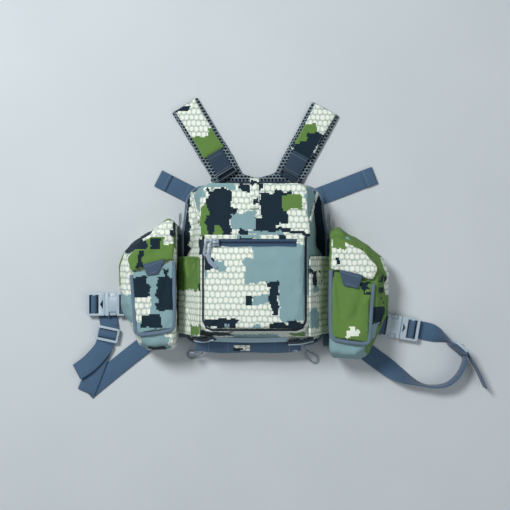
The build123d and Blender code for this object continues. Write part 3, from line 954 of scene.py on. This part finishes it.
reshape(lid, lid_crown)
cover(lid, [LID, LINING], "lid", "lid", FRONT_TOP, 0.75)
line_inside(lid, (0, 62, 45))
LID_EDGE = [(72.6, 57.5, 91.0), (77.6, 70.5, 75.5), (84.0, 84.0, 58.5), (90.2, 96.5, 43.5)]
for side, sign in SIDES.items():
    edge = [drawn_in(Vector((sign * x, y, z))) for x, y, z in LID_EDGE]
    tilt = (sign * 0.93, 0, 0.36)

    def on_wall(out, below):
        """The lid's edge repeated on the pouch wall under it."""
        return [waisted(Vector((sign * (half_width(p.z) + out), p.y - below, p.z))) for p in edge]

    hem_look = camo(f"camo_hem_{side}", "scales", [("dark", -10, 10, 34, 42)] if sign > 0 else [])
    band(f"lid_hem_{side}", edge, 6.5, 2.2, hem_look, "lid", tilt)
    band(f"pouch_rim_{side}", on_wall(0.9, 10.5), 3.6, 1.6, POUCH, "pack", tilt)
    band(f"pouch_rim_shade_{side}", on_wall(0.7, 6.4), 5.0, 1.2, DARK_WEBBING_AND_SHADE, "pack", tilt)
    seam = [p + Vector((sign * 1.4, 2.4, 0.8)) for p in edge]
    stitches(f"lid_hem_thread_{side}", seam, "lid", tilt, spline)
pull = [(0, 73, 97.3), (0, 90, 98.2), (0, 104, 97.2), (0, 110.4, 93.6), (0, 112.6, 86), (0, 112.4, 78)]
ups = [(0, 0, 1), (0, 0, 1), (0, 0.7, 0.7), (0, 1, 0.1)]
tab_look = camo("camo_tab", "scales", [("dark", -4, 4, 6, 12), ("dark", -8, 8, 30, 34)])
band("lid_pull", pull, 11.5, 1.8, tab_look, "lid", ups, nodes=["lid_tab"], slot="camo_fabric")
box = [(-4.4, 76, 98.5), (4.4, 76, 98.5), (4.4, 84, 98.8), (-4.4, 84, 98.8), (-4.4, 76, 98.5)]
stitches("lid_pull_thread", box, "lid")
line = [(-64, 37.2, 95.4), (0, 37.2, 95.8), (64, 37.2, 95.4)]
band("lid_fold", line, 5.4, 1.1, LID, blend=("pack", "lid", (0, 35.4, 95), (0, 39.4, 95)))

# ---- front pull, sliders, rings
hard_part("front_zip_slider", METAL, "front_slider", 0.5)
hard_part("front_zip_pull", RUBBER, "front_pull", 0.5)
hard_part("bottom_ring", METAL, "bottom_ring", 0.4)
hard_part("bottom_pull", RUBBER, "bottom_pull", 0.8)
hard_part("lower_zip_sliders", METAL, "pack", 0.5)

# ---- yoke
yoke = cloth_body("yoke_mesh", "yoke_pad", 1.8, 4)


def rounded_crotch(p, normal):
    """The web between the arms dips in a soft curve."""
    dip = dome(p.x, 4, 34) * share((p.y - 115) / 12)
    return Vector((p.x, p.y - 6.5 * dip, p.z))


reshape(yoke, rounded_crotch)
rumple(yoke, 0.5, 20, seed=9.0)
reshape(yoke, on_floor)
lay_out(yoke, 5)
finish(yoke, MESH, "yoke", ["yoke_mesh"], "spacer_mesh")
ARMS = {"left": ((-36, 122), (-97, 222)), "right": ((46, 119), (99, 217))}
for side in SIDES:
    foot, tip = (Vector(p) for p in ARMS[side])
    ahead = (tip - foot).normalized()
    across = Vector((ahead.y, -ahead.x))

    def at(run, off, z):
        """A point of the arm, run mm from its foot and off mm from its middle."""
        return (*(foot + ahead * run + across * off), z)

    overlay = cloth_body(f"yoke_overlay_{side}", f"arm_cover_{side}", 1.5, 3)
    swell(overlay, lambda p: 0.9)
    cover(finer(overlay), ARM[side], "yoke", f"yoke_overlay_{side}", 9)
    for letter, off in (("a", -13.6), ("b", 13.6)):
        stitches(f"arm_thread_{side}_{letter}", [at(42, off, 9.9), at(112, off, 9.9)], "yoke")
    band(f"arm_webbing_{side}", [at(3, 0, 6.6), at(20, 0, 7.2), at(39, 0, 8.6)], 24.5, 1.7,
         WEBBING_ARM, "yoke", nodes=[f"yoke_webbing_{side}"], slot="webbing")
    for run, z in ((12, 7.9), (34, 9.1)):
        stitches(f"arm_tack_{side}_{run}", [at(run, -10, z), at(run, 10, z)], "yoke")
    hard_part(f"ladder_lock_{side}", PLASTIC_DARK, "yoke", 0.6)
root = [(-52, 111.6, 3), (0, 111.8, 3.2), (56, 111.6, 3)]
band("yoke_root", root, 10.5, 3.2, DARK_WEBBING_AND_SHADE, blend=("pack", "yoke", (0, 107, 3), (0, 116, 3)))

# ---- upper corner straps
UPPER = {"left": ((-93, 99.8), (-133.6, 120.6)), "right": ((94.2, 96.9), (166.9, 124.8))}
for side in SIDES:
    body = f"upper_strap_{side}"
    foot, tip = (Vector(p) for p in UPPER[side])
    ahead = (tip - foot).normalized()
    across = Vector((ahead.y, -ahead.x))
    line = [(*foot, 1.2), (*(foot + (tip - foot) * 0.5), 1.3), (*(tip - ahead * 16), 1.25), (*tip, 1.2)]
    band(f"corner_strap_{side}", line, WEB, 1.7, WEBBING, body, nodes=[body], slot="webbing")
    root = [(*(foot + ahead * run), 1.3) for run in (-9, -4, -3, 3, 4)]
    band(f"corner_root_{side}", root[::2], 25.2, 1.9, WEBBING, blend=("pack", body, root[1], root[3]))
    hem = [(*(tip - ahead * run), z) for run, z in ((0, 2.8), (9, 3.0), (17, 2.8))]
    band(f"corner_hem_{side}", hem, 24.6, 1.5, WEBBING, body)
    seam = [(*(tip - ahead * 13 + across * off), 3.9) for off in (10, -10)]
    stitches(f"corner_thread_{side}", seam, body)

# ---- side pouches
BUCKLES = {"left": (-179.5, -54.0, 8.0, 180.0), "right": (175.5, -81.5, 8.0, -9.6)}
MIDDLE = {"left": -24.0, "right": -36.0}
LEAN = {"left": 3.5, "right": -9.0}
POUCH_FOLDS = {
    "left": [
        ((-170, -60, 30), (-150, -96, 50), 5, -1.6), ((-150, 44, 50), (-126, 56, 60), 5, 1.6),
        ((-166, 10, 56), (-172, -30, 34), 6, -1.2), ((-120, 50, 62), (-108, 40, 40), 4, -2.0),
        ((-140, -104, 40), (-118, -100, 60), 5, -1.8),
    ],
    "right": [
        ((126, 40, 62), (112, 24, 60), 5, -3.0), ((140, 36, 58), (164, 4, 50), 6, 2.2),
        ((120, 46, 50), (134, 44, 30), 5, -2.4), ((168, -30, 40), (160, -60, 60), 6, -1.5),
        ((150, -110, 50), (110, -112, 40), 6, 1.6), ((108, 30, 60), (108, -10, 50), 4, -1.4),
    ],
}
PANEL_FOLD = {"left": -1.2, "right": -3.4}
PANEL_EDGE = [(5, 30), (4.6, -10), (5, -50), (8, -59), (16, -62), (46, -66), (53, -64.5), (55.5, -58),
              (58, -20), (60.5, 12)]
FLAP_TAB = {
    "left": [(16, 33), (45, 26), (39, 11), (25, 13)],
    "right": [(15, 31), (46, 24), (40, 6), (21, 10)],
}


def leaning(side, p):
    """The front of each side pouch leans in towards the main pouch."""
    return Vector((p.x + LEAN[side] * eased((p.z - 20) / 48), p.y, p.z))


def on_pouch(side, u, v, z):
    """A point of the pouch, u mm out from its hinge and v mm up from its middle."""
    return leaning(side, Vector((SIDES[side] * (104.0 + u), MIDDLE[side] + v, z)))


def placed(x, y, z, turn, tip_over=0.0):
    """Place of a buckle or triglide: turned in degrees round z, then round its own x."""
    place = Matrix.Translation((x, y, z)) @ Matrix.Rotation(math.radians(turn), 4, "Z")
    return place @ Matrix.Rotation(math.radians(tip_over), 4, "X")


def wrapped(name, place, path, lift, width, step, body, **more):
    """Webbing folded round a bar. path and lift hold the x and z of its points and up directions."""
    line = [place @ Vector((x, 0, z)) for x, z in path]
    ups = [place.to_3x3() @ Vector((x, 0, z)) for x, z in lift]
    band(name, line, width, 1.5, WEBBING, body, ups, step, **more)


for side, sign in SIDES.items():
    pouch_body = f"side_pouch_{side}"
    pouch = cloth_body(pouch_body, f"pouch_shell_{side}", 1.7, 7)

    def spot(u, v, z):
        return on_pouch(side, u, v, z)

    def full(p, normal):
        """The pouch narrows to its front face, its walls bowed out by what it holds."""
        narrow = share(p.z / POUCH_TOP) ** 4
        bow = math.sin(math.pi * share((p.z - 13.0) / 50.0))
        across = (p.x - sign * 140.0) * sign / 36.0
        up = (p.y - MIDDLE[side]) / 86.0
        outer = max(0.0, across)
        x = p.x + sign * (outer * (6.5 * bow - 5.0 * narrow) + max(0.0, -across) * 3.0 * narrow)
        y = p.y + up * (3.5 * bow - (7.0 if up < 0 else 1.0) * narrow)
        y += 4.0 * bow * outer * max(0.0, up)
        return leaning(side, Vector((x, y, max(0.3, p.z))))

    reshape(pouch, full)
    rumple(pouch, 2.0, 26, POUCH_FOLDS[side], seed=11.0 + sign)
    reshape(pouch, on_floor)
    cover(pouch, [SIDE[side], LINING], pouch_body, pouch_body, POUCH_TOP)
    line_inside(pouch, (sign * 138, MIDDLE[side], 36))

    panel = cloth_body(f"pouch_panel_{side}", f"panel_pad_{side}", 1.8)
    swell(panel, lambda p: 1.6)
    middle = spot(31, -20, 73)

    def filled(p, normal):
        """The pocket's front is crowned."""
        p = leaning(side, p)
        if normal.z < 0.1:
            return p
        return p + raised(2.2 * dome(p.x, middle.x, 30) * dome(p.y, middle.y, 50))

    reshape(panel, filled)
    rumple(panel, 1.5, 22, [
        (spot(11, 28, 73), spot(19, -30, 75), 5, PANEL_FOLD[side]),
        (spot(50, 16, 73), spot(36, -34, 76), 5, -2.0),
    ], seed=14.0 + sign)
    cover(finer(panel), PANEL[side], pouch_body, f"pouch_panel_{side}", PANEL_TOP)
    edge = [spot(u, v, 70.6) for u, v in PANEL_EDGE]
    band(f"panel_binding_{side}", edge, 5.4, 6.2, BINDING, pouch_body, slot="binding")

    flap_body = f"flap_{side}"
    flap = cloth_body(f"pouch_flap_{side}", f"flap_pad_{side}", 1.6)
    swell(flap, lambda p: 1.3)
    reshape(flap, lambda p, n: leaning(side, p))
    rumple(flap, 1.4, 20, [
        (spot(22, 62, 73), spot(30, 40, 73), 5, -1.5), (spot(56, 40, 73), spot(30, 48, 73), 5, 1.2),
        (spot(8, 60, 73), spot(16, 44, 73), 4, -1.0),
    ], seed=17.0 + sign)
    reshape(flap, lambda p, n: p + raised(1.6) if n.z > 0.2 else p)
    cover(finer(flap), [FLAP[side], LINING], flap_body, f"pouch_flap_{side}", PANEL_TOP)
    line_inside(flap, spot(30, 42, 20))
    patch = FLAP_TAB[side]
    tab = plate(f"flap_patch_{side}", [spot(u, v, 74).xy for u, v in patch], 76.4, 78.4, 0.7)
    finish(tab, TAB, flap_body, [f"flap_tab_{side}"], "binding", angle=40)
    top_left, top_right, low_right, low_left = patch
    seams = (("flap_thread", top_left, top_right, 3.2), ("flap_thread_low", low_left, low_right, -3.2))
    for name, (a, b), (c, d), inset in seams:
        seam = [spot(a + 3.4, b - inset, 78.5), spot(c - 3.4, d - inset, 78.5)]
        stitches(f"{name}_{side}", seam, flap_body)
    ridge = [spot(13, 74.5, 70), spot(29, 65.8, 70.4), spot(45, 56.5, 70)]
    out = Vector((sign * 0.504, 0.864, 0))
    low = ridge[1] + out * 3 - UP * 3
    high = ridge[1] - out * 3 + UP * 2
    band(f"flap_fold_{side}", ridge, 8.0, 2.4, SIDE[side], ups=out * 0.75 + UP * 0.66,
         blend=(pouch_body, flap_body, low, high))

    line = [(sign * 102.5, MIDDLE[side] + v, z) for v, z in ((-76, 5), (0, 5.2), (72, 5))]
    band(f"hinge_cloth_{side}", line, 15, 2.2, BINDING, nodes=[f"pouch_hinge_{side}"], slot="binding",
         blend=("pack", pouch_body, (sign * 97, 0, 5), (sign * 108, 0, 5)))

    buckle = f"buckle_{side}"
    hard_part(f"buckle_female_{side}", PLASTIC, pouch_body, 0.6)
    hard_part(f"buckle_male_{side}", PLASTIC, buckle, 0.6)
    for arm in "ab":
        hard_part(f"release_arm_{arm}_{side}", PLASTIC, f"release_{arm}_{side}", 0.5)
    place = placed(*BUCKLES[side])
    path = ((-8, -4), (-2, -3.8), (3, -3.2), (4.6, 0), (3, 3.4), (-2, 4.0), (-8, 4.2))
    lift = ((0, -1), (0, -1), (0.6, -0.8), (1, 0), (0.6, 0.8), (0, 1), (0, 1))
    wrapped(f"buckle_web_{side}", place, path, lift, 24.6, 1.5, pouch_body,
            nodes=[f"buckle_loop_{side}"], slot="webbing")
    path = ((38.9, -5.2), (38.9, 1), (39.6, 3.6), (42, 4.2), (44.6, 3.6), (45.2, 1), (45.2, -5.6))
    lift = ((-1, 0), (-1, 0), (-0.7, 0.7), (0, 1), (0.7, 0.7), (1, 0), (1, 0))
    wrapped(f"bar_web_{side}", place, path, lift, 24.0, 1.2, buckle)

# ---- lower straps
TRIGLIDES = {"left": (-203.0, -95.5, 6.9, -102.0, 0.0), "right": (280.0, -113.0, 17.0, -40.0, -102.0)}
for side in SIDES:
    body = f"buckle_{side}"
    place = placed(*TRIGLIDES[side])
    hard_part(f"triglide_{side}", PLASTIC, body, 0.6)
    layer = [place @ Vector((x, 0, -3.3)) for x in (-13, 0, 13)]
    band(f"adjuster_layer_{side}", layer, 24.6, 1.6, WEBBING, body, place.to_3x3() @ UP)
    path = ((-3.9, -2.6), (-3.9, 0), (-3.2, 2.4), (0, 3.1), (3.2, 2.4), (3.9, 0), (5.0, -2.2), (9, -2.6),
            (13, -2.2))
    lift = ((-1, 0), (-1, 0), (-0.8, 0.6), (0, 1), (0.8, 0.6), (1, 0), (0.8, 0.6), (0, 1), (0, 1))
    wrapped(f"adjuster_wrap_{side}", place, path, lift, 24.4, 1.4, body)


def turning(start, stop, sign=1):
    """Strap that turns from lying flat onto its edge between two shares of its way."""
    def up(way, ahead):
        angle = math.pi / 2 * eased((way - start) / (stop - start))
        return UP * math.cos(angle) + UP.cross(ahead).normalized() * (sign * math.sin(angle))
    return up


line = [(-150, -108.5, 2.6), (-160, -116.5, 1.6), (-178.5, -131.2, 1.15), (-206, -153.5, 1.1),
        (-226, -170, 1.1), (-233, -176, 1.4)]
band("strap_left_low", line, WEB, 1.7, WEBBING, nodes=["strap_end_left"], slot="webbing",
     blend=("side_pouch_left", "buckle_left", (-165, -120, 1), (-230, -173, 1)))
line = [(-233.6, -176.4, 2.4), (-231, -170, 3.5), (-219, -139, 3.6), (-208, -110, 3.6),
        (-205.2, -104, 3.6)]
band("strap_left_back", line, WEB, 1.7, WEBBING, "buckle_left",
     nodes=["strap_free_left"], slot="webbing")
line = [(-201.2, -86, 3.4), (-202.4, -78, 2.4), (-204, -66, 1.2), (-204.5, -54, 1), (-204.5, -41.8, 1)]
band("strap_left_up", line, WEB, 1.6, WEBBING, "buckle_left")
line = [(x, -54, 1.1) for x in (-230.5, -218, -205)]
band("strap_left_run", line, WEB, 1.6, WEBBING, "buckle_left")
line = [(-205.4, -107.5, 4.9), (-208.5, -113, 6.8), (-217, -124, 8.2), (-230, -137, 8),
        (-246, -148, 6.4)]
ups = [(0, 0, 1), (0, 0, 1), (0.02, -0.04, 1), (-0.1, 0.1, 1), (-0.2, 0.24, 0.9)]
band("strap_left_tail", line, 24, 1.6, WEBBING, "buckle_left", ups)

line = [(148, -113, 2.6), (158, -122, 1.7), (176, -135.4, 1.2), (196, -149, 1.6), (214, -158.5, 4.0),
        (230, -164.4, 8.0), (246, -167.0, 11.4), (264, -164.4, 13.0), (277, -155, 13.2), (285, -143, 13.4),
        (288.6, -132, 13.8), (287.3, -123.4, 14.8)]
band("strap_right_low", line, WEB, 1.7, WEBBING, None, turning(0.16, 0.58), 2.0, nodes=["strap_end_right"],
     slot="webbing", blend=("side_pouch_right", "buckle_right", (165, -126, 1), (236, -166, 1)))
line = [(220, -88.8, 2.4), (232, -90.6, 1.6), (245, -93.6, 3.0), (256, -97.2, 8.0), (265, -102.4, 12.8),
        (271.4, -109.0, 15.0)]
band("strap_right_run", line, WEB, 1.7, WEBBING, "buckle_right", turning(0.3, 0.98, -1), 2.0,
     nodes=["strap_free_right"], slot="webbing")
line = [(289.4, -117.2, 15.6), (296, -127, 14.6), (305, -143, 14), (317, -168, 13.5)]
band("strap_right_tail", line, 21, 1.6, WEBBING, "buckle_right", (-0.88, -0.47, 0))

# ---- zip pulls on cords
UPPER_CORD = [(0, 0, 0), (0.2, 4, -2.4), (0.3, 9, -3.8), (-0.1, 16, -3.2), (-1.4, 20.5, 0.6), (-2.7, 16, 4.8),
              (-2.8, 9, 5.4), (-1.4, 4, 4.4), (0, 2.5, 2.9)]
LOWER_CORD = {
    "left": [(0, 0, 0), (3.5, -1.5, -4.5), (9.5, -1, -10.5), (17, -2, -14.2), (21.5, -8, -15), (16, -14, -15),
             (9, -11, -14.6), (2.6, -7, -10.5), (-1.0, -3.5, -5)],
    "right": [(0, 0, 0), (2.5, -3.5, -4.5), (8, -5.5, -10.5), (14.5, -8, -14.2), (18, -15, -15),
              (12, -20.5, -15), (5.5, -16, -14.6), (1.2, -9.5, -10.5), (-1.8, -4, -5)],
}


def cord_piece(name, route, start, sign, node):
    """Cord loop of a slider. Its body has its node's name."""
    data = bpy.data.curves.new(name, "CURVE")
    data.dimensions = "3D"
    data.bevel_depth = 0.001
    data.bevel_resolution = 4
    data.resolution_u = 10
    line = data.splines.new("NURBS")
    line.points.add(len(route) - 1)
    for point, (x, y, z) in zip(line.points, route):
        point.co = ((start[0] + sign * x) * MM, (start[1] + y) * MM, (start[2] + z) * MM, 1.0)
    line.order_u = 3
    line.use_endpoint_u = True
    data.materials.append(CORD)
    made = new_object(name, data)
    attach(made, node)
    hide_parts(node)


for side, sign in SIDES.items():
    hard_part(f"zip_slider_{side}", METAL, f"zip_slider_{side}", 0.4)
    start = (sign * 103, 51.4, ZIP_Z)
    cord_piece(f"zip_loop_{side}", UPPER_CORD, start, sign, f"zip_cord_{side}")
    start = (sign * 72, -116.6, ZIP_Z)
    cord_piece(f"lower_loop_{side}", LOWER_CORD[side], start, sign, f"lower_cord_{side}")

# ---- stage
floor_mesh = bpy.data.meshes.new("floor")
floor_mesh.from_pydata([(-3, -3, 0), (3, -3, 0), (3, 3, 0), (-3, 3, 0)], [], [(0, 1, 2, 3)])
floor = new_object("floor", floor_mesh)
floor.location.z = -0.0004
floor_look, g = material("floor_look")
place = g.place()
colour = g.mix(g.noise(place, 6.0, 5.0), rgb("b9c1c6"), rgb("c5ccd0"))
surface(g, colour, 0.75, g.noise(place, 300.0, 3.0), depth=0.05)
floor_mesh.materials.append(floor_look)

world = bpy.data.worlds.new("studio")
bpy.context.scene.world = world
world.use_nodes = True
sky = world.node_tree.nodes["Background"]
sky.inputs["Color"].default_value = (0.93, 0.97, 1.0, 1.0)
sky.inputs["Strength"].default_value = 0.3


def soft_light(name, place, size, power):
    """Round lamp aimed at the object."""
    data = bpy.data.lights.new(name, "AREA")
    data.shape = "DISK"
    data.size = size
    data.energy = power
    lamp = new_object(name, data)
    lamp.location = place
    lamp.rotation_euler = (-Vector(place)).to_track_quat("-Z", "Y").to_euler()


soft_light("key", (-0.75, 0.75, 1.5), 0.5, 27)
soft_light("fill", (1.0, -0.5, 1.4), 1.2, 5)

camera = bpy.data.cameras.new("camera")
camera.sensor_width = 36
camera.lens = 60.9
camera_object = new_object("camera", camera)
camera_object.location = (0.0007, 0.014, 1.2)
bpy.context.scene.camera = camera_object
bpy.context.scene.view_settings.view_transform = "Standard"
